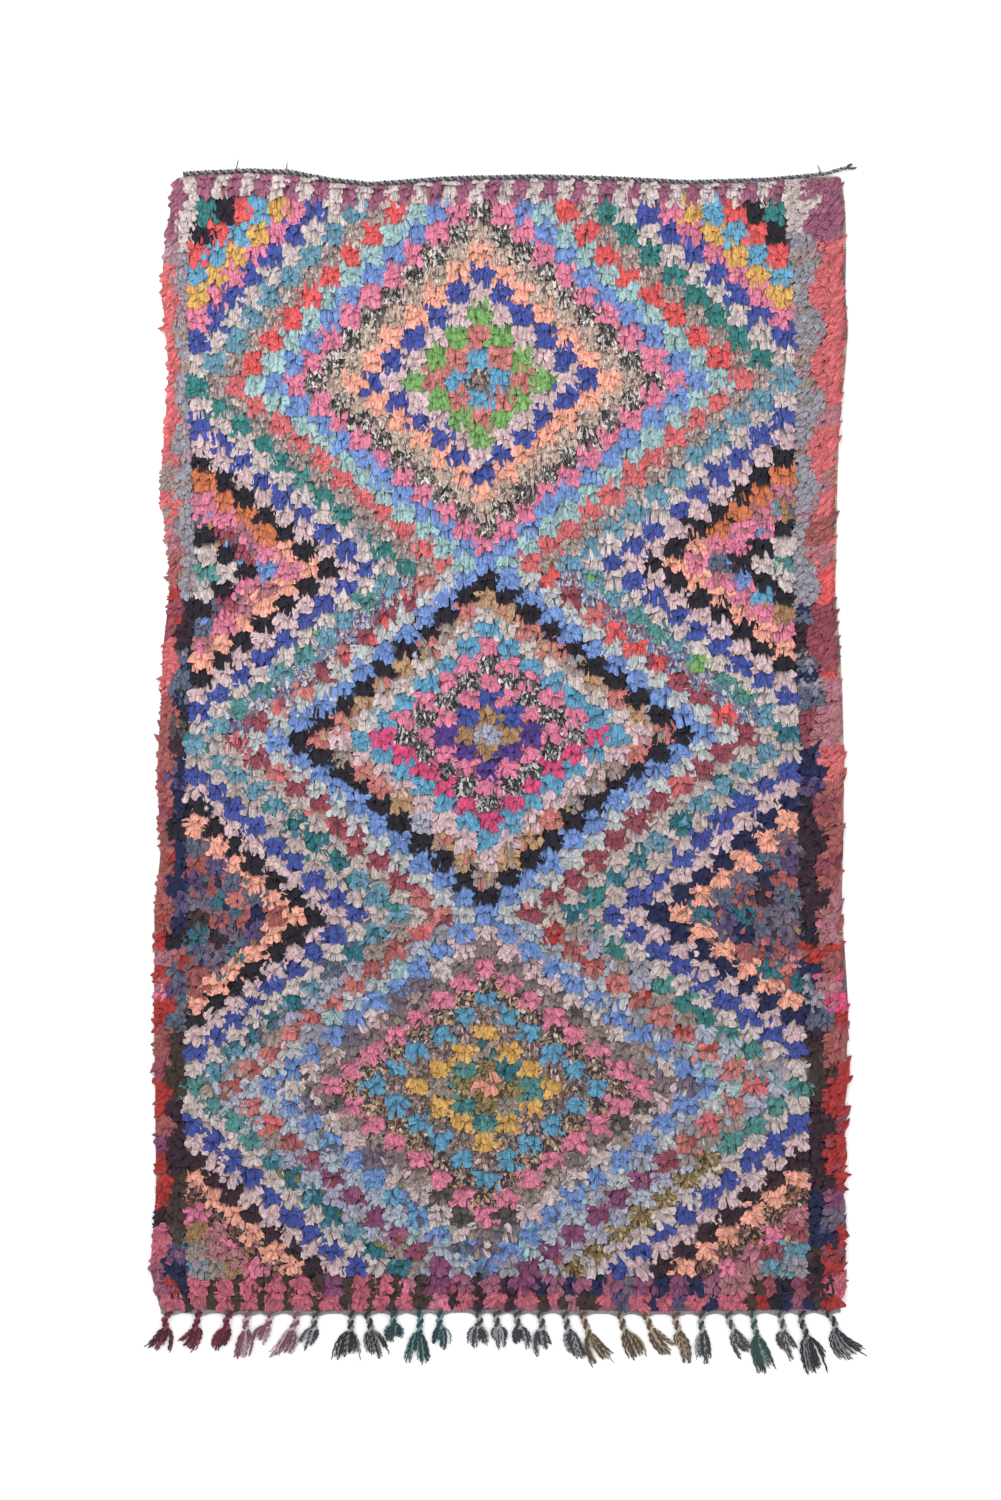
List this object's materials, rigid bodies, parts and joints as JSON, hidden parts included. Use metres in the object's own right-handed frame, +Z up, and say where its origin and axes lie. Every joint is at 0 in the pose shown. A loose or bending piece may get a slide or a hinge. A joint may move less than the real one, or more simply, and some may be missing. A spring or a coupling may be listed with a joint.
{
  "type": "boucherouite rug",
  "caption": "Long rectangular rag-pile rug lying flat, with stepped nested diamonds, a twined heading cord and knotted warp tassels at the foot.",
  "frame": {"origin": "middle of the rug's outline, tassels included, on the floor it lies on", "axes": "+Y along the length towards the heading cord, -Y towards the tassels, +X across the width to the right seen from above with the heading at the top, +Z up out of the pile"},
  "size_m": [1.5459, 2.6082, 0.0238],
  "materials": {
    "rag_pile": "deep pile of knotted rag strips in many plain dyed colours, matt",
    "heading_yarn": "dark blue-grey twined wool yarn, matt and fuzzy",
    "warp_yarn": "flat-woven and twisted wool warps in dull plum, slate, tan and grey, matt"
  },
  "bodies": {
    "root": {"rug_pile": "rag_pile", "heading_cord": "heading_yarn", "fringe": "warp_yarn"}
  },
  "joints": []
}
